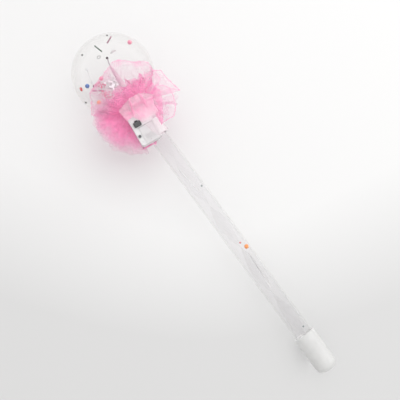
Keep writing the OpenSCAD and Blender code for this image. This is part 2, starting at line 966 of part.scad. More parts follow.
globe();
stem_plug();
light_wire();
stem_led();
string_wire();
led_drops();
bead_blue();
bead_red();
beads_pink();
bead_orange();
rod_green();
rods_mauve();
bits_dark();
seed_beads();
foil_flakes();
stick_tube();
end_cap();
film_twist();
tube_bead_orange();
tube_bead_red();
tube_bits_dark();
battery_box();
battery_cover();
case_screw();
top_cell();
middle_cell();
end_cell();
negative_contact();
positive_contact();
switch_body();
switch_knob();
tulle_gather();
gather_tie();
tulle_collar();
tulle_frill();
tulle_skirt();
tulle_petal();
tulle_loop();
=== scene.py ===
# %% [markdown]
# # A light-up globe wand with a tulle frill
# The wand lies on a white table: a clear globe with beads and a light in it, a frill of pink tulle tied
# round its neck, a small battery box with a slide switch, a clear tube as the stick and a satin cap.
# The hard pieces come from a imported CAD model, so this lesson is about finishes, net and light.
# We load that model first. What we add must not make the wand much bigger.

# %% Load the frame
import json
import math

import bmesh
import bpy
import numpy as np
from mathutils import Matrix, Vector, noise


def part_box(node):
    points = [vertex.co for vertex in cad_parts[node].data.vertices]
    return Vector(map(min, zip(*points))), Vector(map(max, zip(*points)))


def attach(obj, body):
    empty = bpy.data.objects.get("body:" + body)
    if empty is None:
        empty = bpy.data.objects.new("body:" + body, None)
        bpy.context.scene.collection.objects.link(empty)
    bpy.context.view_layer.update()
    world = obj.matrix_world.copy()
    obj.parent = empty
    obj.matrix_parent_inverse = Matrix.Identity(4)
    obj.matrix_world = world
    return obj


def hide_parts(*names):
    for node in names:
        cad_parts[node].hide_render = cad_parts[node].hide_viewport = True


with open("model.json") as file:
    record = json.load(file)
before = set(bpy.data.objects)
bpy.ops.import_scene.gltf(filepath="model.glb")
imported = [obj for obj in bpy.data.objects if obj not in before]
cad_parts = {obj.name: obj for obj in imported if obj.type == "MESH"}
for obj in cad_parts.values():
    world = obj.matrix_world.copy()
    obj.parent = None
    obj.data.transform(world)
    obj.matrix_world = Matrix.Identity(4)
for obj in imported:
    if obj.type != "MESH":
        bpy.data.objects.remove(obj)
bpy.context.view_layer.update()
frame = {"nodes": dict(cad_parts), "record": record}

# %% [markdown]
# The wand lies a little tilted, because the globe is thicker than the stick. Tulle is much easier to
# shape in the wand's own directions than in the room's: toward the eye, to the right, and up the stick
# toward the globe, in millimetres from the globe's middle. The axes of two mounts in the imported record
# give these directions, and the globe's box gives the middle, so none of them is typed in again.

# %% The wand's own directions
MM = 0.001
mounts = {mount["name"]: mount for mount in frame["record"]["mounts"]}
toward_cap = Vector(mounts["cap_seat"]["axis"]).normalized()
toward_eye = Vector(mounts["stick_grip"]["axis"]).normalized()
to_right = toward_eye.cross(toward_cap)
wand_axes = np.array([toward_eye, to_right, -toward_cap])

globe_low, globe_high = (np.array(corner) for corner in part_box("globe"))
globe_radius = (globe_high[2] - globe_low[2]) / 2 / MM
globe_middle = np.array([
    globe_high[0] - globe_radius * MM,
    (globe_low[1] + globe_high[1]) / 2,
    globe_low[2] + globe_radius * MM,
])


def on_wand(points):
    """Room places in metres of points given in mm toward the eye, to the right and up the wand."""
    return np.asarray(points) @ wand_axes * MM + globe_middle


print("globe radius", round(float(globe_radius), 2), "mm, middle at", globe_middle.round(4))

# %% [markdown]
# The photo looks almost straight down. The camera's place was found by matching the globe, the box and
# the cap, and the lens follows from how many pixels a metre covers at that distance. The picture's middle
# isn't exactly on the wand, so a small shift of the sensor moves the frame instead of turning the camera.

# %% Camera
PICTURE = 400
camera_target = Vector((0, 0, 0.020))
camera_elevation = math.radians(80)
camera_azimuth = math.radians(233.631)
camera_distance = 0.9
focal_pixels = 823.3
target_pixel = (204.3, 207.3)


def put_in_room(name, data):
    """A new object for a mesh, a curve, a lamp or a camera, linked into the scene."""
    thing = bpy.data.objects.new(name, data)
    bpy.context.collection.objects.link(thing)
    return thing


sight = bpy.data.cameras.new("sight")
sight.sensor_width = 36
sight.lens = focal_pixels / PICTURE * sight.sensor_width
sight.shift_x = (PICTURE / 2 - target_pixel[0]) / PICTURE
sight.shift_y = (target_pixel[1] - PICTURE / 2) / PICTURE
sight.clip_start = 0.01
camera = put_in_room("camera", sight)

picture_right = Vector((math.cos(camera_azimuth), math.sin(camera_azimuth), 0))
level_back = Vector((math.sin(camera_azimuth), -math.cos(camera_azimuth), 0))
camera_back = level_back * math.cos(camera_elevation) + Vector((0, 0, math.sin(camera_elevation)))
picture_up = camera_back.cross(picture_right)
turn = Matrix((picture_right, picture_up, camera_back)).transposed()
camera.matrix_world = Matrix.Translation(camera_target + camera_back * camera_distance) @ turn.to_4x4()
bpy.context.scene.camera = camera
print("camera at", [round(value, 3) for value in camera.location], "lens", round(sight.lens, 1), "mm")

# %% [markdown]
# The light is a bright, soft room: a white dome with one large lamp from the upper right of the picture.
# The lamp is large for its distance, so its shadow is soft. It is hidden from mirroring and clear
# surfaces, so the globe shows the dome and not a bright disk.

# %% Lamp
LAMP_SIZE, LAMP_POWER, LAMP_DISTANCE = 1.3, 5.2, 1.25
lamp_height = math.radians(50)
scene = bpy.context.scene
scene.view_settings.view_transform = "Standard"
lamp_side = picture_up * 0.80 + picture_right * 0.60
lamp_side = Vector((lamp_side.x, lamp_side.y, 0)).normalized()
lamp_way = lamp_side * math.cos(lamp_height) + Vector((0, 0, math.sin(lamp_height)))

soft_lamp = bpy.data.lights.new("soft_lamp", "AREA")
soft_lamp.shape = "DISK"
soft_lamp.size = LAMP_SIZE
soft_lamp.energy = LAMP_POWER
lamp = put_in_room("soft_lamp", soft_lamp)
lamp.location = camera_target + lamp_way * LAMP_DISTANCE
lamp.rotation_euler = lamp_way.to_track_quat("Z", "Y").to_euler()
lamp.visible_glossy = False
lamp.visible_transmission = False
print("lamp at", [round(value, 2) for value in lamp.location])

# %% [markdown]
# The dome and every finish are graphs of nodes, and a few helpers keep them readable. The dome is
# brightest overhead on the lamp's side and dimmer low down on the other side, and the clear globe shows
# that as a grey rim.

# %% Dome
DOME_DIM, DOME_BRIGHT = 0.36, 1.16
DOME_RANGE = (-0.5, 0.6)


def set_values(node, **values):
    """Plain numbers and colours on a node's sockets; _ in a name stands for a space."""
    for socket, value in values.items():
        node.inputs[socket.replace("_", " ")].default_value = value
    return node


def add_node(owner, kind, **values):
    """A new node in a finish or in the dome."""
    return set_values(owner.node_tree.nodes.new("ShaderNode" + kind), **values)


def feed(source, socket):
    """Feeds a socket from another socket of its graph, or gives it a plain number."""
    if isinstance(source, (int, float)):
        socket.default_value = source
    else:
        socket.id_data.links.new(source, socket)


def rescaled(source, before, after=(0, 1)):
    """Moves a number from the range before to the range after."""
    span = source.id_data.nodes.new("ShaderNodeMapRange")
    set_values(span, From_Min=before[0], From_Max=before[1], To_Min=after[0], To_Max=after[1])
    feed(source, span.inputs["Value"])
    return span.outputs["Result"]


def along_way(owner, coordinates, way):
    """How far each place lies along a direction."""
    place = add_node(owner, "TexCoord")
    far = add_node(owner, "VectorMath")
    far.operation = "DOT_PRODUCT"
    far.inputs[1].default_value = way
    feed(place.outputs[coordinates], far.inputs[0])
    return far.outputs["Value"]


dome = bpy.data.worlds.new("studio_dome")
dome.use_nodes = True
scene.world = dome
dome_light = set_values(dome.node_tree.nodes["Background"], Color=(1.0, 0.995, 0.99, 1))
toward_bright = along_way(dome, "Generated", lamp_side * 0.5 + Vector((0, 0, 0.87)))
dome_level = rescaled(toward_bright, DOME_RANGE, (DOME_DIM, DOME_BRIGHT))
feed(dome_level, dome_light.inputs["Strength"])
print("dome from", DOME_DIM, "to", DOME_BRIGHT)

# %% [markdown]
# Every finish below starts from one Principled shader, and most need a fine cloud of noise, for the small
# unevenness of real plastic. The CAD pieces have no unwrapped surface, so the noise is read from object
# coordinates: these are metres here, and a scale of 400 means spots of 2.5 mm. Noise lies mostly between
# 0.3 and 0.7, so that range moves a tone or a roughness.

# %% Helpers for finishes
NOISE_RANGE = (0.3, 0.7)
BUMP_STRENGTH = 0.3


def start_finish(name):
    """A new material that holds one Principled shader."""
    finish = bpy.data.materials.new(name)
    finish.use_nodes = True
    return finish


def shader_of(finish):
    return finish.node_tree.nodes["Principled BSDF"]


def cloud(finish, scale, detail=3.0, stretch=(1, 1, 1)):
    """Noise through the piece in its own metres; stretch draws it out along an axis."""
    place = add_node(finish, "TexCoord")
    aim = add_node(finish, "Mapping", Scale=stretch)
    spots = add_node(finish, "TexNoise", Scale=scale, Detail=detail)
    feed(place.outputs["Object"], aim.inputs["Vector"])
    feed(aim.outputs["Vector"], spots.inputs["Vector"])
    return spots.outputs["Fac"]


def roughened(finish, source, low, high):
    """Lets the noise in source move the roughness between low and high."""
    feed(rescaled(source, NOISE_RANGE, (low, high)), shader_of(finish).inputs["Roughness"])


def two_tones(finish, source, dark, light):
    """Lets the number in source move the colour between two tones."""
    tones = add_node(finish, "ValToRGB")
    for stop, position, colour in zip(tones.color_ramp.elements, NOISE_RANGE, (dark, light)):
        stop.position = position
        stop.color = (*colour, 1)
    feed(source, tones.inputs["Fac"])
    feed(tones.outputs["Color"], shader_of(finish).inputs["Base Color"])


def raised(finish, source, height):
    """Turns the noise in source into a bump of that height in metres."""
    bump = add_node(finish, "Bump", Strength=BUMP_STRENGTH, Distance=height)
    feed(source, bump.inputs["Height"])
    feed(bump.outputs["Normal"], shader_of(finish).inputs["Normal"])


def number_node(finish, operation, first, second):
    """One step of arithmetic between two sockets or plain numbers."""
    step = add_node(finish, "Math")
    step.operation = operation
    feed(first, step.inputs[0])
    feed(second, step.inputs[1])
    return step.outputs["Value"]


def dress(finish, *nodes):
    """Gives CAD nodes this finish."""
    for node in nodes:
        piece = frame["nodes"][node]
        piece.data.materials.clear()
        piece.data.materials.append(finish)
    print(finish.name, "on", ", ".join(nodes))


# %% [markdown]
# The table is a sheet of smooth white board. It is stage, not part of the wand. It is a little under
# white, so that the lamp can still draw a soft shadow on it. Painted shade makes it greyer toward the near
# end, and a paler round patch of painted light lies round its middle, as in the photo. A gradient along one
# direction and one round the middle, added up, choose between a painted shaded grey and a painted lit grey.

# %% Table
HALF_TABLE = 3.0
# The shaded and the lit grey between which the painted light on the board chooses.
BOARD_PAINTED_SHADE, BOARD_PAINTED_LIGHT = (0.61, 0.61, 0.61), (0.75, 0.75, 0.75)

table_mesh = bpy.data.meshes.new("table")
table_corners = [(x * HALF_TABLE, y * HALF_TABLE, 0) for x, y in ((-1, -1), (1, -1), (1, 1), (-1, 1))]
table_mesh.from_pydata(table_corners, [], [(0, 1, 2, 3)])
table = put_in_room("table", table_mesh)

board = start_finish("white_board_painted_light")
up_picture = along_way(board, "Object", Vector((picture_up.x, picture_up.y, 0)).normalized())
# Painted shade: the board turns greyer toward the near end.
painted_falloff = rescaled(up_picture, (-0.25, 0.15))
off_middle = add_node(board, "VectorMath")
off_middle.operation = "LENGTH"
feed(add_node(board, "TexCoord").outputs["Object"], off_middle.inputs[0])
# Painted light: the board turns paler round its middle.
painted_light_pool = rescaled(off_middle.outputs["Value"], (0, 0.3), (0.2, -0.15))
two_tones(board, number_node(board, "ADD", painted_falloff, painted_light_pool), BOARD_PAINTED_SHADE, BOARD_PAINTED_LIGHT)
set_values(shader_of(board), Roughness=0.75, Specular_IOR_Level=0.15)
table_mesh.materials.append(board)
print("table", 2 * HALF_TABLE, "m wide")

# %% [markdown]
# The globe, the tube and the drops on the light string are clear plastic: a Principled shader with full
# transmission. The globe and the tube have thin walls, which hardly bend what is behind them, so their
# bend is set just over 1; where a wall turns away it grows milkier and greyer, and that draws the rim.
# Only the thick drops bend light as solid plastic does. Clear plastic would cast a black shadow in a path
# tracer, because a shadow ray can't bend. So for rays that carry light to other surfaces, a share of the
# finish is swapped for a transparent one; the cap and the nets, further on, use a smaller share.

# %% Clear plastic
THIN_WALL_BEND, RESIN_BEND = 1.001, 1.46
RIM_START = 0.35


def mixed(finish, share, first, second):
    """A mix of two shaders; share is how much of the second one shows."""
    either = add_node(finish, "MixShader")
    feed(share, either.inputs["Fac"])
    feed(first, either.inputs[1])
    feed(second, either.inputs[2])
    return either.outputs["Shader"]


def light_passes(finish, share, colour):
    """Lets that share of the rays that carry light go straight through, tinted."""
    surface = finish.node_tree.nodes["Material Output"].inputs["Surface"]
    seen = surface.links[0].from_socket
    path = add_node(finish, "LightPath").outputs
    lighting = number_node(finish, "MAXIMUM", path["Is Shadow Ray"], path["Is Diffuse Ray"])
    let_through = add_node(finish, "BsdfTransparent", Color=(*colour, 1)).outputs["BSDF"]
    feed(mixed(finish, number_node(finish, "MULTIPLY", lighting, share), seen, let_through), surface)


def clear_plastic(name, tint, rim_tint, passes, bend, milky_rim, rough, ripple=0):
    finish = start_finish(name)
    shader = set_values(shader_of(finish), Base_Color=(*tint, 1), Transmission_Weight=1.0, IOR=bend)
    waves = cloud(finish, 300, 2.0)
    roughened(finish, waves, 0.0, rough)
    if ripple:
        raised(finish, waves, ripple)
    if milky_rim:
        slant = add_node(finish, "LayerWeight", Blend=0.5).outputs["Facing"]
        clear = rescaled(slant, (RIM_START, 1.0), (1.0, 1.0 - milky_rim))
        feed(clear, shader.inputs["Transmission Weight"])
        two_tones(finish, slant, tint, rim_tint)
    light_passes(finish, 1.0, passes)
    return finish


dress(clear_plastic("blown_globe", (0.995, 0.995, 0.992), (0.95, 0.95, 0.945), (0.985, 0.985, 0.985),
                    THIN_WALL_BEND, 0.11, 0.02), "globe")
dress(clear_plastic("drawn_tube", (0.965, 0.96, 0.965), (0.92, 0.92, 0.92), (0.98, 0.98, 0.98),
                    THIN_WALL_BEND, 0.12, 0.04), "stick_tube")
dress(clear_plastic("resin_drop", (0.97, 0.98, 1.0), (0.97, 0.98, 1.0), (0.9, 0.9, 0.92),
                    RESIN_BEND, 0.0, 0.05, 0.0002), "led_drops")

# %% [markdown]
# The cap, the box and its cover are moulded plastic, and so are the stem and the jackets of the wires.
# Each has a fine grain from the mould, a tone that drifts a little and an uneven roughness: the cap is
# satin, the box a little shinier and the cover a tone greyer. The cap is milky too: light sinks into it,
# and most light passes on through it, so it hardly darkens the table.

# %% Moulded plastic
GRAIN = 0.00003
CAP_PASSES = 0.95


def drifting(finish):
    """A tone that changes slowly over the piece."""
    return cloud(finish, 90)


def moulded_plastic(name, dark, light, rough, grain_scale, grain_height=GRAIN, tone=drifting):
    finish = start_finish(name)
    two_tones(finish, tone(finish), dark, light)
    grain = cloud(finish, grain_scale, 4.0)
    roughened(finish, grain, *rough)
    raised(finish, grain, grain_height)
    return finish


satin_cap = moulded_plastic("satin_cap", (0.58, 0.58, 0.575), (0.63, 0.63, 0.625), (0.42, 0.58),
                            1800, 0.00005)
set_values(shader_of(satin_cap), Subsurface_Weight=0.7, Subsurface_Radius=(1, 1, 1), Subsurface_Scale=0.009)
light_passes(satin_cap, CAP_PASSES, (1, 1, 1))
dress(satin_cap, "end_cap")
dress(moulded_plastic("white_box", (0.67, 0.66, 0.665), (0.72, 0.71, 0.715), (0.30, 0.42), 1500),
      "battery_box")
dress(moulded_plastic("grey_cover", (0.60, 0.58, 0.59), (0.65, 0.63, 0.64), (0.35, 0.5), 1500, 0.00004),
      "battery_cover")
dress(moulded_plastic("dusky_stem", (0.55, 0.41, 0.47), (0.68, 0.54, 0.59), (0.3, 0.45), 900, 0.00004),
      "stem_plug")
dress(moulded_plastic("wire_jacket", (0.40, 0.34, 0.38), (0.5, 0.44, 0.48), (0.4, 0.5), 2500), "light_wire")
dress(moulded_plastic("pale_wire", (0.70, 0.71, 0.71), (0.82, 0.83, 0.83), (0.3, 0.4), 2500), "string_wire")
dress(moulded_plastic("dark_light", (0.06, 0.05, 0.06), (0.14, 0.11, 0.13), (0.12, 0.25), 1500), "stem_led")

# %% [markdown]
# The switch is black. The tops of the ridges of its knob are painted a little paler: a painted highlight,
# where they catch the light. The tone there follows the height toward the eye and not the noise, over the
# last part of a millimetre.

# %% Switch
PAINTED_GLINT_DEPTH = 0.0003
BLACK = (0.012, 0.012, 0.013)
SWITCH_ROUGH, SWITCH_GRAIN = (0.28, 0.45), (2200, 0.00004)
knob_top = max(toward_eye.dot(corner.co) for corner in frame["nodes"]["switch_knob"].data.vertices)


def painted_ridge_highlight(finish):
    """0 on the knob's body, 1 on the tops of its ridges, where the highlight is painted."""
    return rescaled(along_way(finish, "Object", toward_eye), (knob_top - PAINTED_GLINT_DEPTH, knob_top))


dress(moulded_plastic("black_switch", BLACK, (0.03, 0.03, 0.033), SWITCH_ROUGH, *SWITCH_GRAIN), "switch_body")
# The paler tone is the painted highlight on the ridge tops.
dress(moulded_plastic("knob_painted_highlight", BLACK, (0.16, 0.16, 0.165), SWITCH_ROUGH, *SWITCH_GRAIN, painted_ridge_highlight),
      "switch_knob")

# %% [markdown]
# The screw, the button cells, their contacts and the foil are metal. Turned and rolled metal has fine
# scratches that run one way, so its noise is drawn out, mostly along one axis.

# %% Metal
def scratched_metal(name, dark, light, rough_low, rough_high):
    finish = start_finish(name)
    set_values(shader_of(finish), Metallic=1.0)
    scratches = cloud(finish, 900, 4.0, (1, 0.08, 0.3))
    two_tones(finish, scratches, dark, light)
    roughened(finish, scratches, rough_low, rough_high)
    raised(finish, scratches, GRAIN)
    return finish


dress(scratched_metal("zinc_screw", (0.10, 0.10, 0.11), (0.2, 0.2, 0.21), 0.3, 0.45), "case_screw")
dress(scratched_metal("cell_can", (0.6, 0.6, 0.58), (0.75, 0.75, 0.73), 0.2, 0.38),
      "top_cell", "middle_cell", "end_cell")
dress(scratched_metal("sprung_brass", (0.6, 0.47, 0.24), (0.8, 0.66, 0.38), 0.25, 0.4),
      "negative_contact", "positive_contact")
dress(scratched_metal("bright_foil", (0.8, 0.78, 0.82), (0.95, 0.94, 0.96), 0.12, 0.3), "foil_flakes")

# %% [markdown]
# The loose filling is small glossy plastic: beads, broken beads and cut rods. Their colour goes deep, so a
# little scattering under the surface softens most of them, and a clear coat gives each one its small
# bright point.

# %% Beads and rods
def glossy_bead(name, dark, light, depth=0.15):
    """Coated plastic between two tones; depth is how much light scatters under its surface."""
    finish = start_finish(name)
    two_tones(finish, cloud(finish, 700), dark, light)
    roughened(finish, cloud(finish, 1500), 0.15, 0.3)
    set_values(shader_of(finish), Subsurface_Weight=depth, Subsurface_Scale=0.001,
               Coat_Weight=0.4, Coat_Roughness=0.06)
    return finish


dress(glossy_bead("blue_bead", (0.08, 0.16, 0.40), (0.16, 0.27, 0.57)), "bead_blue")
dress(glossy_bead("red_bead", (0.5, 0.06, 0.07), (0.72, 0.16, 0.16)), "bead_red", "tube_bead_red")
dress(glossy_bead("pink_bead", (0.75, 0.2, 0.32), (0.9, 0.36, 0.48)), "beads_pink")
dress(glossy_bead("orange_bead", (0.92, 0.28, 0.08), (1.0, 0.44, 0.18)), "bead_orange", "tube_bead_orange")
dress(glossy_bead("crumb_bead", (0.50, 0.04, 0.13), (0.92, 0.36, 0.48), 0.1), "seed_beads")
dress(glossy_bead("dark_bit", (0.012, 0.016, 0.014), (0.05, 0.06, 0.055), 0.0), "bits_dark")
dress(glossy_bead("grey_bit", (0.16, 0.20, 0.20), (0.30, 0.35, 0.34), 0.0), "tube_bits_dark")
dress(glossy_bead("green_rod", (0.10, 0.15, 0.12), (0.2, 0.27, 0.23), 0.05), "rod_green")
dress(glossy_bead("mauve_rod", (0.30, 0.09, 0.16), (0.48, 0.22, 0.31), 0.05), "rods_mauve")

# %% [markdown]
# Tulle is a net of fine pink threads with holes of about a millimetre. One layer is almost clear, and
# many layers together are hot pink, so the pink of the frill has to come from layers and not from paint.
# The shader mixes a see-through part with a thread part, which sends light back and also lets it glow
# through. Threads come from two crossing sets of fine waves on the flat cloth. A number stored at each
# point of a sheet, crowd, says how tightly gathering or a hem packs the net there: it closes the holes
# and deepens the tone. Some light passes on through the net, tinted, so that deep layers stay bright.

# %% Tulle net
NET_PITCH = 0.0011
NET_TURN = 32
NET_COVER = (0.12, 0.40)
NET_GLOW = 0.35
NET_PASSES = 0.45
WAVE_RATE = 20  # radians per metre in a wave texture of scale 1


def net_lines(finish, turned):
    """Fine lines across the flat cloth, turned by that many degrees."""
    cloth = add_node(finish, "UVMap")
    aim = add_node(finish, "Mapping", Rotation=(0, 0, math.radians(turned)))
    lines = add_node(finish, "TexWave", Scale=math.tau / (WAVE_RATE * NET_PITCH), Distortion=0.4)
    feed(cloth.outputs["UV"], aim.inputs["Vector"])
    feed(aim.outputs["Vector"], lines.inputs["Vector"])
    return lines.outputs["Fac"]


def crowd_of(finish):
    """The number stored at a sheet's points."""
    stored = add_node(finish, "Attribute")
    stored.attribute_name = "crowd"
    return stored.outputs["Fac"]


def tulle_net(name, dark, light, deepest):
    """Net that goes from the light tone to the dark one as crowd grows to deepest."""
    finish = start_finish(name)
    threads = number_node(finish, "MAXIMUM", net_lines(finish, NET_TURN), net_lines(finish, -NET_TURN))
    cover = rescaled(threads, (0.45, 1.0), NET_COVER)
    crowd = crowd_of(finish)
    hole = number_node(finish, "POWER", number_node(finish, "SUBTRACT", 1.0, cover), crowd)
    two_tones(finish, rescaled(crowd, (0.5, deepest), (0.8, 0.2)), dark, light)
    shader = set_values(shader_of(finish), Roughness=0.45, Sheen_Weight=0.05, Specular_IOR_Level=0.3)
    glow = add_node(finish, "BsdfTranslucent", Color=(*light, 1))
    thread = mixed(finish, NET_GLOW, shader.outputs["BSDF"], glow.outputs["BSDF"])
    see_through = add_node(finish, "BsdfTransparent")
    net = mixed(finish, hole, thread, see_through.outputs["BSDF"])
    feed(net, finish.node_tree.nodes["Material Output"].inputs["Surface"])
    light_passes(finish, NET_PASSES, (1.0, 0.92, 0.96))
    return finish


pink_net = tulle_net("pink_net", (1.0, 0.32, 0.58), (1.0, 0.48, 0.70), 3.0)
pale_net = tulle_net("pale_net", (1.0, 0.40, 0.61), (1.0, 0.74, 0.83), 11.0)
print(pink_net.name, "and", pale_net.name, "with holes of", NET_PITCH / MM, "mm")

# %% [markdown]
# All the tulle is made the same way. A formula gives a grid of points for a sheet: one side of the grid
# runs along the gathered edge, the other from the tie out to the hem. Noise then crumples that grid, with
# a fixed seed, so that every run crumples alike.

# %% Crumpling
SHARP_SCALE, SHARP_SHARE = 1.9, 1.1
FINE_SCALE, FINE_SHARE = 4.3, 0.25
noise.seed_set(7)


def crumple(points, loose, crease, depth, seed):
    """Moves points by noise with sharp creases; crease is their spacing and depth their height in mm."""
    moved = points.copy()
    for place in np.ndindex(points.shape[:2]):
        spot = Vector(points[place] / crease) + Vector((seed, seed * 0.7, -seed))
        swell = noise.noise_vector(spot)
        sharp = Vector([0.25 - abs(value) for value in noise.noise_vector(spot * SHARP_SCALE)])
        fine = noise.noise_vector(spot * FINE_SCALE)
        moved[place] += np.array(swell + sharp * SHARP_SHARE + fine * FINE_SHARE) * depth * loose[place]
    return moved


def patches(points, strength, seed):
    """Factors round 1 that make a crumpled net thicker in some places and thinner in others."""
    thicker = np.zeros(points.shape[:2])
    for place in np.ndindex(points.shape[:2]):
        spot = Vector(points[place]) + Vector((seed, -seed, seed))
        thicker[place] = noise.noise(spot / 9) + 0.6 * noise.noise(spot / 3.5)
    return np.exp(strength * thicker)


# %% [markdown]
# A sheet must not pass through what is hard, so its points are pushed off the globe, the stick, the battery
# box and the table.

# %% Keeping clear
TUBE_RADIUS = 10.0
BOX_TOP = np.array([11.0, -6.4, -52.8])  # the middle of the box's top edge, at its back
BOX_SIZE = np.array([12.5, 24.0, 36.0])
BOX_TURN = math.radians(6)
table_lean = math.asin(-toward_cap.z)  # a step toward the eye lifts a point by the cosine of this


def keep_clear(points, gap=0.5, off_globe=0.5):
    """Moves points that lie too near; gap and off_globe are the least distances in mm."""
    points = points.copy()
    reach = np.linalg.norm(points, axis=-1)
    points *= (np.maximum(globe_radius + off_globe, reach) / reach)[..., None]
    from_axis = np.hypot(points[..., 0], points[..., 1])
    out = np.maximum(TUBE_RADIUS + gap, from_axis) / np.maximum(from_axis, 0.1)
    points[..., :2] *= np.where(points[..., 2] < -globe_radius, out, 1)[..., None]
    box_x, across, along = np.moveaxis(points - BOX_TOP, -1, 0)
    box_y = across * math.cos(BOX_TURN) - along * math.sin(BOX_TURN)
    box_z = across * math.sin(BOX_TURN) + along * math.cos(BOX_TURN)
    side_room = BOX_SIZE[1] / 2 + gap - np.abs(box_y)
    face_room = BOX_SIZE[0] + gap - box_x
    in_box = (side_room > 0) & (face_room > 0) & (box_x > -gap)
    in_box &= (box_z < gap) & (box_z > -BOX_SIZE[2] - gap)
    to_face = in_box & (face_room < side_room)
    to_side = in_box & ~to_face
    points[..., 0] += np.where(to_face, face_room, 0)
    points[..., 1] += np.where(to_side, side_room * np.sign(box_y), 0)
    height = on_wand(points)[..., 2] / MM
    points[..., 0] += np.maximum(gap - height, 0) / math.cos(table_lean)
    return points


print("the wand leans", round(math.degrees(table_lean), 2), "degrees from the table")

# %% [markdown]
# The next helper turns a grid into a mesh.

# %% Sheets
CM2 = 1e4


def grid(along, across):
    """Two arrays for a sheet's grid: 0 to 1 along the gathered edge and 0 to 1 out to the hem."""
    return np.meshgrid(np.linspace(0, 1, along), np.linspace(0, 1, across), indexing="ij")


def round_stick(radius, way, height):
    """Points round the stick: at a radius, turned by way from the eye, and so far up."""
    return np.stack(np.broadcast_arrays(radius * np.cos(way), radius * np.sin(way), height), axis=-1)


def hem_line(out, width, times):
    """How much a turned hem along the outer edge closes the net; out runs from 0 to 1 over the sheet."""
    return 1 + (times - 1) * np.clip((out - (1 - width)) / (width * 0.4), 0, 1)


def hump(out, middle, width):
    """A smooth bump from 0 to 1 and back, for what is thickest part of the way out."""
    return np.exp(-((out - middle) / width) ** 2)


def add_piece(name, mesh, finish):
    """A new smooth piece that rides on the wand, in a finish."""
    mesh.shade_smooth()
    mesh.materials.clear()
    mesh.materials.append(finish)
    piece = put_in_room(name, mesh)
    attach(piece, "wand")
    return piece


def net_sheet(name, points, crowd, flat, stands_for, ring=False,
              net=pink_net):
    """A sheet from a grid of points in mm, cut to flat = (length, depth) in metres; ring closes it."""
    rows, columns = points.shape[:2]
    last = rows if ring else rows - 1
    faces, corners = [], []
    for row in range(last):
        left, right = row / last * flat[0], (row + 1) / last * flat[0]
        for column in range(columns - 1):
            near, far = row * columns + column, (row + 1) % rows * columns + column
            low, high = column / (columns - 1) * flat[1], (column + 1) / (columns - 1) * flat[1]
            faces.append((near, far, far + 1, near + 1))
            corners += (left, low, right, low, right, high, left, high)
    mesh = bpy.data.meshes.new(name)
    mesh.from_pydata(on_wand(points).reshape(-1, 3).tolist(), [], faces)
    mesh.uv_layers.new(name="flat_cloth").data.foreach_set("uv", corners)
    mesh.attributes.new("crowd", "FLOAT", "POINT").data.foreach_set("value", crowd.ravel())
    piece = add_piece(name, mesh, net)
    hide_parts(stands_for)
    cloth_area = sum(face.area for face in mesh.polygons)
    print(name, len(faces), "faces, area", round(cloth_area * CM2, 1), "cm2, cut",
          round(flat[0] * flat[1] * CM2, 1), "cm2")


# %% [markdown]
# The collar is the layer that lies up over the globe's lower half. It is gathered tight at the neck and
# opens over the ball, so it follows the sphere at a small distance, in folds that grow toward its hem.
# The hem stands highest in front and lower at the back and the right, and its front edge is turned over
# double.

# %% Tulle collar
GATHER_TOP = -44.6
ROOT_RADIUS = 12.75
COLLAR_START = 14.5  # degrees round the ball from its foot
COLLAR_FOLDS, COLLAR_PLEATS = 9, 34


def tulle_collar():
    steps, seed = 360, 3.1
    along, out = grid(steps, 26)
    along = along * ((steps - 1) / steps)
    way = along * math.tau - math.pi
    hem = 60 + 16.5 * np.cos(way) + 10.5 * np.abs(np.cos(way)) - 16 * np.maximum(np.sin(way), 0)
    hem += 1.2 * np.sin(7 * way + 0.6) - 3 * np.maximum(np.sin(-2 * way), 0) * (np.cos(way) > 0)
    angle = np.radians(COLLAR_START + (hem - COLLAR_START) * out)
    fold = 4 * out * (0.5 + 0.5 * np.cos(COLLAR_FOLDS * way))
    waver = np.cos(COLLAR_PLEATS * way + 1.4 * np.sin(5 * way))
    pleat = 1.5 * np.sqrt(out) * (1 - 0.7 * out) * (0.5 + 0.5 * waver)
    reach = globe_radius + 1.4 + 0.8 * out + fold + pleat
    points = round_stick(reach * np.sin(angle), way, -reach * np.cos(angle))
    points = keep_clear(crumple(points, out, 14, 1.6, seed), off_globe=0.8)
    turned_over = np.exp(-((way - 0.5) / 0.7) ** 2)
    crowd = 0.85 - 0.25 * np.cos(way) + 0.6 * (1 - out) ** 2 + 0.6 * np.maximum(-np.sin(way), 0) ** 2
    crowd *= patches(points, 0.7, seed) * hem_line(out, 0.03, 2.6)
    crowd *= 1 + 1.1 * turned_over * np.clip((out - 0.9) / 0.02, 0, 1)
    net_sheet("tulle_collar_net", points, crowd, (0.23, 0.040), "tulle_collar", ring=True)


tulle_collar()

# %% [markdown]
# The frill and the back of the skirt are ruffles: long strips gathered into a short ring, so that their
# outer edges have far more length than room and throw themselves into waves. A strip leaves the gather at
# one tilt and curls to another at its hem; the wave swings that second tilt up and down along the strip,
# and the crests lean over, so that two or three layers show at once.

# %% Ruffles
RUFFLE_CREASE, RUFFLE_DEPTH, RUFFLE_PATCHES = 10, 4.4, 0.5
CREST_LEAN = 0.55


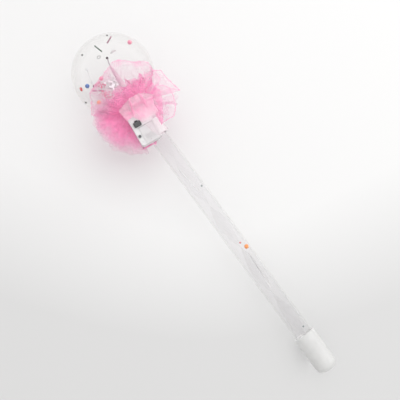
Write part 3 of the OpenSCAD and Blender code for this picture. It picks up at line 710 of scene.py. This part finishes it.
def ruffle(name, stands_for, ends, root_z, foot, reach, rise, swing, waves, phase, flat, seed, crowded,
           off_globe=1.5):
    """A ruffled strip round the neck; ends and foot, its tilt at the gather, are degrees."""
    along, out = grid(300, 24)
    way = np.radians(ends[0] + (ends[1] - ends[0]) * along)
    lean = CREST_LEAN * np.sin(2 * waves * way + 2 * phase) / waves * out
    tilt = math.radians(foot)
    curl = np.radians(rise(way) + swing(way) * np.sin(waves * way + phase)) - tilt
    curl = np.where(np.abs(curl) < 0.001, 0.001, curl)
    radius = ROOT_RADIUS + reach(way) * (np.sin(tilt + curl * out) - math.sin(tilt)) / curl
    height = root_z + reach(way) * (math.cos(tilt) - np.cos(tilt + curl * out)) / curl
    points = round_stick(radius, way + lean, height)
    points = keep_clear(crumple(points, out, RUFFLE_CREASE, RUFFLE_DEPTH, seed), off_globe=off_globe)
    crowd = crowded(out, way) * patches(points, RUFFLE_PATCHES, seed)
    net_sheet(name, points, crowd, flat, stands_for)


# %% [markdown]
# The frill comes out toward the camera over the box and curls up against the globe, so that its spiky
# outer half makes the bright band across the middle of the head, while its foot is loose and pale. At the
# left the band lies nearer to the gather, and it thins out toward the right.

# %% Tulle frill
def frill_crowd(out, way):
    """The bright band: where it lies, how wide it is, and how it thins out to the right."""
    middle = np.interp(way, (-0.9, -0.4), (0.44, 0.68))
    width = np.interp(way, (-0.9, -0.4), (0.2, 0.27))
    return 0.45 + 4.8 * hump(out, middle, width) * np.clip((1.0 - way) / 0.7, 0.2, 1)


def frill_strip(name, ends, root_drop, reach, rise, swing, waves, phase, cut, seed):
    ruffle(name, "tulle_frill", ends, GATHER_TOP - root_drop, 4,
           lambda way: reach + 1.8 * np.sin(19 * way + phase) + 1.2 * np.sin(31 * way),
           lambda way: rise + 8 * np.cos(way),
           lambda way: swing * (0.8 + 0.3 * np.sin(4 * way + phase)),
           waves, phase, cut, seed, frill_crowd, off_globe=3.0)


frill_strip("tulle_frill_front", (-78, 54), 1.0, 38.5, 54, 16, 15, 0.0, (0.087, 0.037), 5.2)
frill_strip("tulle_frill_back", (-85, 36), 0.6, 31, 64, 12, 17, 2.3, (0.070, 0.030), 9.4)

# %% [markdown]
# Where the wand lies on its side, the net at the left and the right is pressed toward the table and opens
# into fans that face the camera. Each fan runs from a short stretch of the gather out to an edge, a
# smooth or a straight line through a few corners, and is folded along its rays.

# %% Fans
FAN_CREASE, FAN_PATCHES, FAN_HEM = 13, 0.7, 0.035
SIDE_HEM = 0.012


def smooth_rows(rows, share):
    """A smooth line through rows of points, read at share from 0 to 1."""
    rows = np.array(rows, float)
    padded = np.concatenate([2 * rows[:1] - rows[1:2], rows, 2 * rows[-1:] - rows[-2:-1]])
    spot = np.clip(share * (len(rows) - 1), 0, len(rows) - 1 - 1e-6)
    first = spot.astype(int)
    part = (spot - first)[..., None]
    a, b, c, d = (padded[first + step] for step in range(4))
    return 0.5 * (2 * b + (c - a) * part + (2 * a - 5 * b + 4 * c - d) * part ** 2
                  + (3 * b - 3 * c + d - a) * part ** 3)


def net_fan(name, stands_for, line, corners, root_ends, root_z, belly, folds, fold_depth, crowded, hem, flat,
            seed, crease_depth=2.0):
    """Net from the gather out to a line through corners; belly and folds stand up toward the eye."""
    along, out = grid(160, 32)
    way = np.radians(root_ends[0] + (root_ends[1] - root_ends[0]) * along)
    edge = line(corners, along)
    points = round_stick(ROOT_RADIUS, way, root_z) * (1 - out)[..., None] + edge * out[..., None]
    wave = np.sin(folds * math.tau * along + 1.5 * np.sin(3 * along + seed))
    points[..., 0] += belly * np.sin(math.pi * out) + fold_depth * out * wave
    loose = out * (1.3 - 0.6 * out)
    points = keep_clear(crumple(points, loose, FAN_CREASE, crease_depth, seed), off_globe=1.5)
    sides = np.minimum(along, 1 - along)
    crowd = crowded(out, along) * patches(points, FAN_PATCHES, seed) * hem_line(out, FAN_HEM, hem)
    crowd *= 1 + (hem - 1) * 0.5 * np.clip(1 - sides / SIDE_HEM, 0, 1) * out
    net_sheet(name, points, crowd, flat, stands_for)


# %% [markdown]
# The skirt is the thick part at the left and below. Three fans lie on each other there, the lowest
# nearest to the table. They are densest halfway out, and the middle one has a tight hem at the foot of
# the box. A ruffle leans down the stick behind them and round the back.

# %% Tulle skirt
SKIRT_ROOT = -51.4
FOOT_HEM = 4.0


def left_fan(name, corners, root_ends, root_z, folds, fold_depth, cut, seed, foot_hem=0.0):
    def crowded(out, along):
        thick = 3.6 * hump(out, 0.42, 0.40) * np.clip((along + 0.15) / 0.3, 0.35, 1)
        return 0.25 + thick + foot_hem * (along > 0.8) * np.clip((out - 0.95) / 0.02, 0, 1)

    net_fan(name, "tulle_skirt", smooth_rows, corners, root_ends, root_z, 6.0, folds, fold_depth,
            crowded, 1.0, cut, seed, crease_depth=4.5)


top_corners = [(30, -20, -24), (24, -36, -22), (18, -47, -34), (14, -50, -48), (12, -42, -66),
               (14, -32, -78), (18, -23, -88)]
middle_corners = [(10, -38, -22), (6, -49, -32), (3, -52, -46), (2, -47, -62), (4, -38, -76),
                  (7, -25, -89), (8.5, -14, -89.6), (10, -4, -90.4)]
low_corners = [(-8, -40, -26), (-12, -50, -38), (-14, -50, -56), (-12, -42, -72), (-6, -28, -88),
               (-2, -19, -92)]
left_fan("tulle_skirt_top", top_corners, (-35, -125), SKIRT_ROOT + 3, 4, 1.5, (0.11, 0.036), 11.3)
left_fan("tulle_skirt_middle", middle_corners, (-60, -140), SKIRT_ROOT + 1, 5, 2.0, (0.10, 0.036),
         13.8, FOOT_HEM)
left_fan("tulle_skirt_low", low_corners, (-80, -160), SKIRT_ROOT, 4, 2.0, (0.08, 0.036), 17.1)
ruffle("tulle_skirt_back", "tulle_skirt", (-120, -258), SKIRT_ROOT, -6,
       lambda way: 42 - 9 * np.cos(way) ** 2 - 9 * np.maximum(np.sin(way), 0),
       lambda way: -22 + 9 * np.cos(way), lambda way: 20 + 0 * way,
       12, 0.0, (0.092, 0.034), 37.7, lambda out, way: 1.0 - 0.4 * out ** 2)

# %% [markdown]
# At the right the fans are petals of a single layer. The top one, a flap, has straight cut edges and
# corners, the outer one is round, and both show their hems as thin darker lines; a smaller one beside the
# box is folded tighter, so it is pinker.

# %% Tulle petals
def cut_line(corners, share):
    """Straight lines through corners, read at share from 0 to 1."""
    corners = np.array(corners, float)
    places = np.linspace(0, 1, len(corners))
    return np.stack([np.interp(share, places, corners[:, axis]) for axis in range(3)], axis=-1)


def inner_crowd(out, along):
    """Dense most of the way out, and densest at its lower end."""
    return 1.4 + (2.4 + 2.4 * hump(along, 0.95, 0.12)) * hump(out, 0.7, 0.35)


flap_corners = [(16, 28, -18), (14, 43, -29), (13, 47.5, -60), (14, 38.5, -50)]
round_corners = [(15, 30.5, -39.5), (14, 38.5, -50.5), (12, 35.5, -67), (13, 25, -78), (16, 9, -78)]
inner_corners = [(26, 23, -33), (24, 27, -46), (23, 23.5, -60), (23, 15, -73), (24, 7.5, -80)]
net_fan("tulle_flap", "tulle_petal", cut_line, flap_corners, (28, 74), GATHER_TOP - 2.0, 3.0, 1.5, 1.5,
        lambda out, along: 0.75 + 0.6 * (1 - out) ** 2, 6.0, (0.055, 0.032), 19.6)
net_fan("tulle_petal_round", "tulle_petal", smooth_rows, round_corners, (40, 100), GATHER_TOP - 2.4, 3.0, 2.5,
        1.6, lambda out, along: 0.45 + 0.6 * (1 - out) ** 2, 8.0, (0.055, 0.032), 23.2)
net_fan("tulle_petal_inner", "tulle_petal", smooth_rows, inner_corners, (30, 95), GATHER_TOP - 2.8, 4.0, 4.5,
        2.0, inner_crowd, 1.5, (0.05, 0.026), 29.4)

# %% [markdown]
# A last sheer layer makes a loop: it comes out of the gather along the frill's inner side, turns back and
# falls over the top of the battery box, clear of the switch and of the sliding cover. Six rows of points,
# from the gather to the hem, say where it goes. A fold on each side and one across stand up from it, and a
# pocket at the left sinks in; it is denser where it folds, and where it falls over the top of the box.

# %% Tulle loop
LOOP_TURN = 40
LOOP_CREASE, LOOP_DEPTH, LOOP_SEED = 11, 3.0, 31.5


def loop_rows(side):
    """Six rows from the gather to the hem: toward the eye, to the right and up the wand."""
    way = np.radians(LOOP_TURN * side)
    level = np.ones_like(side)
    right = np.maximum(side, 0) ** 2
    fall = np.clip((side + 0.55) / 0.9, 0, 1)
    hem = 9 + 33 * fall * fall * (3 - 2 * fall)
    rows = (
        (ROOT_RADIUS * np.cos(way), ROOT_RADIUS * np.sin(way), GATHER_TOP - 2.4 * level),
        (24 * level, 17 * side - 1, -45 - 4 * right),
        (33 * level, 20 * side - 1, -39.5 - 4 * side ** 2 - 8 * right),
        (31 * level, 18.5 * side - 2.5, -48 - 2 * (1 + side)),
        (29 * level, 16.5 * side - 4, -54 - 5 * (1 + side)),
        (28 * level, 15.5 * side - 5.5, -47 - hem),
    )
    return np.array([np.stack(row, axis=-1) for row in rows])


def tulle_loop():
    along, out = grid(110, 44)
    rows = loop_rows(along[:, 0] * 2 - 1)
    points = np.array([smooth_rows(rows[:, column], out[column]) for column in range(len(out))])
    across = along * 2 - 1
    pocket = np.clip((-0.25 - across) / 0.25, 0, 1) * hump(out, 0.55, 0.25)
    left_fold = hump(across, -0.3 - 0.5 * (out - 0.5), 0.07) * hump(out, 0.55, 0.2)
    right_fold = hump(across, 0.42 + 0.5 * (out - 0.5), 0.08) * hump(out, 0.52, 0.16)
    low_fold = hump(out, 0.57 + 0.04 * across, 0.03) * np.clip((across + 0.35) / 0.2, 0, 1)
    points[..., 0] += 4.0 * left_fold - 2.0 * pocket + 3.0 * right_fold + 1.5 * low_fold
    loose = out * (1 - 0.6 * out)
    points = keep_clear(crumple(points, loose, LOOP_CREASE, LOOP_DEPTH, LOOP_SEED))
    over_box = np.clip((points[..., 2] + 69) / 8, 0, 1)
    outer = 3.4 * np.clip((out - 0.36) / 0.16, 0, 1) + 3.6 * np.clip((out - 0.56) / 0.12, 0, 1)
    crowd = 0.4 + outer * over_box + 5 * (left_fold + right_fold) + 4 * low_fold * over_box
    crowd *= patches(points, 0.6, LOOP_SEED) * hem_line(out, 0.02, 2.0)
    net_sheet("tulle_loop_net", points, crowd, (0.037, 0.066), "tulle_loop", net=pale_net)


tulle_loop()

# %% [markdown]
# All these layers meet under a thin elastic. The gather itself is a tube of very tight pleats: a ring
# whose radius swings in and out forty times. The elastic is two turns of a thin cord that sink between
# the pleats, so its line wavers; a curve with a round bevel gives that cord, and it becomes a mesh at once.

# %% Gather and tie
PLEATS = 40
TIE_TURNS, TIE_STEPS = 2, 240
TIE_RADIUS, TIE_TOP, TIE_STEP = 13.25, -48.9, 1.1
CORD_RADIUS = 0.0005


def tulle_gather():
    steps = 480
    along, out = grid(steps, 12)
    way = along * (steps - 1) / steps * math.tau
    flare = (2 * out - 1) ** 2
    radius = 12.1 + (0.5 + 0.45 * flare) * np.cos(PLEATS * way + 0.8 * np.sin(7 * way)) + 0.7 * flare
    points = round_stick(radius, way, GATHER_TOP - 7.6 * out)
    crowd = np.full_like(out, 1.6)
    net_sheet("tulle_gather_net", points, crowd, (0.11, 0.0105), "tulle_gather", ring=True)


tulle_gather()

elastic = start_finish("pink_elastic")
two_tones(elastic, cloud(elastic, 1200, 4.0), (0.8, 0.3, 0.5), (0.92, 0.5, 0.66))
raised(elastic, cloud(elastic, 2500, 3.0), 0.0002)
set_values(shader_of(elastic), Roughness=0.75, Sheen_Weight=0.3)

tie_line = bpy.data.curves.new("gather_tie_line", "CURVE")
tie_line.dimensions = "3D"
tie_line.bevel_depth = CORD_RADIUS
tie_line.bevel_resolution = 3
way = np.linspace(0, TIE_TURNS * math.tau, TIE_STEPS)
tie_radius = TIE_RADIUS + 0.12 * np.cos(PLEATS * way)
tie_points = on_wand(round_stick(tie_radius, way, TIE_TOP - TIE_STEP * way / math.tau))
spline = tie_line.splines.new("POLY")
spline.points.add(TIE_STEPS - 1)
for point, spot in zip(spline.points, tie_points):
    point.co = (*spot, 1)
tie_curve = put_in_room("tie_curve", tie_line)
tie_mesh = bpy.data.meshes.new_from_object(tie_curve)
bpy.data.objects.remove(tie_curve)
tie = add_piece("gather_elastic", tie_mesh, elastic)
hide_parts("gather_tie")
print(tie.name, len(tie_mesh.polygons), "faces")

# %% [markdown]
# A strip of clear film runs through the tube in a slow twist. Film is too thin to bend light, so it is a
# surface that is almost all see-through. The bright and dark lines along the stick are painted on it: a
# faint grey painted shade that grows lower down and toward the left, a white painted highlight along one
# fold near the box, and a painted dark crease further down. The strip is crumpled as the tulle is, and the
# number that closes the net's holes says here how much of the film shows and which painted tone it takes.
# It stays off the tube's wall, and its twist stands it on edge to the eye at the beads.

# %% Film in the tube
FILM_TOP, FILM_LENGTH, FILM_HALF, FILM_TURNS = -74.5, 296.4, 6.4, 2.5
FILM_REACH = 6.6
FILM_CREASE, FILM_DEPTH = 26, 1.6
TUBE_BEAD = -237.5

film_finish = start_finish("twisted_film_painted_light")
film_shows = crowd_of(film_finish)
film_painted_tones = add_node(film_finish, "ValToRGB")
# The film's tones are painted light: grey painted shade, a dark painted crease and a white painted highlight.
painted_shade_stop, painted_crease_stop = film_painted_tones.color_ramp.elements
painted_shade_stop.color = (0.42, 0.41, 0.42, 1)
painted_shade_stop.position = 0.18
painted_crease_stop.color = (0.2, 0.18, 0.2, 1)
painted_crease_stop.position = 0.75
# The white stop is the painted highlight along the fold.
film_painted_tones.color_ramp.elements.new(0.45).color = (1, 1, 1, 1)
film_shader = set_values(shader_of(film_finish), Specular_IOR_Level=0.1)
feed(film_shows, film_painted_tones.inputs["Fac"])
feed(film_painted_tones.outputs["Color"], film_shader.inputs["Base Color"])
feed(film_shows, film_shader.inputs["Alpha"])
film_waves = cloud(film_finish, 300, 3.0)
roughened(film_finish, film_waves, 0.3, 0.5)
raised(film_finish, film_waves, 0.0002)


def film_strip():
    down, side = grid(420, 33)
    side = side * 2 - 1
    height = FILM_TOP - FILM_LENGTH * down
    turn = math.pi + math.tau * FILM_TURNS * (TUBE_BEAD - height) / FILM_LENGTH
    points = round_stick(side * FILM_HALF, turn, height)
    points = crumple(points, np.ones_like(down), FILM_CREASE, FILM_DEPTH, 41.3)
    from_axis = np.hypot(points[..., 0], points[..., 1])
    points[..., :2] *= np.minimum(1, FILM_REACH / np.maximum(from_axis, 0.1))[..., None]
    sideways = points[..., 1]
    # Where the film shows: a painted highlight along one fold, a painted dark crease, and painted shade that
    # grows lower down and toward the left.
    painted_highlight_fold = hump(sideways, np.interp(-height, (95, 168), (-6.0, 0.7)), 0.7) * hump(height, -132, 45)
    painted_crease_shade = hump(sideways, np.interp(-height, (238, 294), (3.6, 1.3)), 0.55) * hump(height, -266, 30)
    painted_shade = np.interp(-height, (120, 230), (0.03, 0.13)) * np.interp(sideways, (0, 5), (1, 0.5))
    shows = np.maximum(painted_shade, np.maximum(0.5 * painted_highlight_fold, 0.85 * painted_crease_shade))
    net_sheet("film_strip", points, shows, (FILM_LENGTH * MM, 2 * FILM_HALF * MM), "film_twist",
              net=film_finish)


film_strip()

# %% [markdown]
# Three small shapes lie on the far wall of the globe: a grey ring, a pale streak and a leaf of foil. Each
# is a small section, swept along a short line of points.

# %% Swept bits
BIT_SIDES = 8


def unit(rows):
    """The rows' directions."""
    return rows / np.linalg.norm(rows, axis=-1, keepdims=True)


def swept_bit(name, line, normals, wide, thick, closed, finish):
    """A mesh along a line of points in mm; wide lies along the wall and thick across it, at each point."""
    ways = np.roll(line, -1, axis=0) - np.roll(line, 1, axis=0) if closed else np.gradient(line, axis=0)
    across = np.cross(unit(ways), normals)
    turn = np.arange(BIT_SIDES) * math.tau / BIT_SIDES
    rings = (line[:, None] + across[:, None] * (np.cos(turn) * wide[:, None])[..., None]
             + normals[:, None] * (np.sin(turn) * thick[:, None])[..., None])
    count = len(line)
    faces = []
    for step in range(count if closed else count - 1):
        here, there = step * BIT_SIDES, (step + 1) % count * BIT_SIDES
        for side in range(BIT_SIDES):
            beside = (side + 1) % BIT_SIDES
            faces.append((here + side, here + beside, there + beside, there + side))
    if not closed:
        last = (count - 1) * BIT_SIDES
        faces += [tuple(range(BIT_SIDES))[::-1], tuple(range(last, last + BIT_SIDES))]
    mesh = bpy.data.meshes.new(name)
    mesh.from_pydata(on_wand(rings).reshape(-1, 3).tolist(), [], faces)
    add_piece(name, mesh, finish)
    print(name, len(faces), "faces")


# %% [markdown]
# The ring follows an oval, the streak an arc along the wall, with a section that thins out to both ends,
# and the leaf an almost straight line.

# %% Ring, streak and foil leaf
BIT_WALL = 43.65
RING_STEPS, RING_THICK = 32, 0.32

ring_middle = unit(np.array([-28.3, 1.7, 32.7]))
ring_side = unit(np.cross(ring_middle, [0, 0, 1]))
ring_up = np.cross(ring_side, ring_middle)
ring_turn = np.linspace(0, math.tau, RING_STEPS, endpoint=False)
ring_ways = 2.0 * np.cos(ring_turn)[:, None] * ring_side + 1.6 * np.sin(ring_turn)[:, None] * ring_up
ring_line = ring_middle * (BIT_WALL - 0.4) + ring_ways
ring_thick = np.full(RING_STEPS, RING_THICK)
ring_finish = moulded_plastic("grey_ring", (0.30, 0.31, 0.30), (0.42, 0.43, 0.42), (0.1, 0.2), 1500)
swept_bit("clear_ring", ring_line, np.tile(ring_middle, (RING_STEPS, 1)), ring_thick, ring_thick, True,
          ring_finish)

arc_share = np.linspace(-1, 1, 17)
arc_line = np.stack([0 * arc_share - 27, 18.6 + 5.0 * arc_share,
                     28.5 + 1.2 * arc_share - 1.0 * arc_share ** 2], axis=-1)
arc_normals = unit(arc_line)
arc_body = np.sqrt(1 - (0.98 * arc_share) ** 2)
streak_finish = moulded_plastic("pale_streak", (0.78, 0.79, 0.78), (0.86, 0.87, 0.86), (0.2, 0.35), 1500)
swept_bit("pale_streak", arc_normals * (BIT_WALL - 0.3), arc_normals, 1.6 * arc_body, 0.2 * arc_body, False,
          streak_finish)

leaf_share = np.linspace(-1, 1, 9)
leaf_line = np.stack([0 * leaf_share - 42, 2.6 * leaf_share - 2.7, 0.3 + 1.8 * leaf_share], axis=-1)
leaf_normals = unit(leaf_line)
leaf_body = 2.2 + 0.5 * np.sin(5 * leaf_share)
swept_bit("foil_leaf", leaf_normals * (BIT_WALL - 0.2), leaf_normals, leaf_body, np.full(9, 0.12), False,
          frame["nodes"]["foil_flakes"].data.materials[0])

# %% [markdown]
# Crumbs of broken beads lie in two patches on the far wall, under the collar. Their places follow a
# sunflower spiral, which fills a patch evenly without looking like a grid, and a line of sight is followed
# from the picture to the wall. A small ball, pushed about by noise, gives the crumb itself.

# %% Crumbs
GLOBE_PIXEL = (113.0, 74.5)
PIXEL_SIZE = 1.064  # mm at the globe
WAND_IN_PICTURE = (0.806, 0.592)  # the wand's direction in the picture
SHIFT_RIGHT, SHIFT_UP = 0.104, 0.227  # how far a step toward the eye moves a spot in the picture
SIGHT_STEPS = 8
GOLDEN_ANGLE = math.radians(137.5)


def on_far_wall(pixel, reach):
    """The place in mm on the far wall, at that reach from the globe's middle, that shows at a pixel."""
    across, down = pixel[0] - GLOBE_PIXEL[0], pixel[1] - GLOBE_PIXEL[1]
    seen_right = (WAND_IN_PICTURE[0] * across - WAND_IN_PICTURE[1] * down) * PIXEL_SIZE
    seen_up = -(WAND_IN_PICTURE[1] * across + WAND_IN_PICTURE[0] * down) * PIXEL_SIZE
    toward = -reach
    for _ in range(SIGHT_STEPS):
        right, up = seen_right - SHIFT_RIGHT * toward, seen_up - SHIFT_UP * toward
        toward = -math.sqrt(max(reach ** 2 - right ** 2 - up ** 2, 0))
    return np.array([toward, right, up])


def crumb_patch(shape, middle, reach, count):
    """Adds crumbs round a middle pixel to a growing mesh; reach is the patch's half size in pixels."""
    for number in range(count):
        off, turned = math.sqrt((number + 0.5) / count), number * GOLDEN_ANGLE
        pixel = (middle[0] + reach[0] * off * math.cos(turned),
                 middle[1] + reach[1] * off * math.sin(turned))
        size = 0.85 + 0.3 * math.sin(3 * number)
        spot = on_far_wall(pixel, BIT_WALL - 1.3 * size)
        ball = bmesh.ops.create_icosphere(shape, subdivisions=2, radius=1.0)
        for corner in ball["verts"]:
            uneven = 1 + 0.3 * noise.noise(corner.co * 1.3 + Vector((number, 0, 0)))
            corner.co = Vector(on_wand(spot + np.array(corner.co) * size * uneven))


crumb_shape = bmesh.new()
crumb_patch(crumb_shape, (99.0, 85.5), (6.5, 3.4), 18)
crumb_patch(crumb_shape, (103.0, 94.5), (4.5, 3.4), 12)
crumb_mesh = bpy.data.meshes.new("crumbs")
crumb_shape.to_mesh(crumb_mesh)
crumb_shape.free()
crumb_finish = frame["nodes"]["seed_beads"].data.materials[0]
crumbs = add_piece("crumbs", crumb_mesh, crumb_finish)
print(crumbs.name, len(crumb_mesh.polygons), "faces")
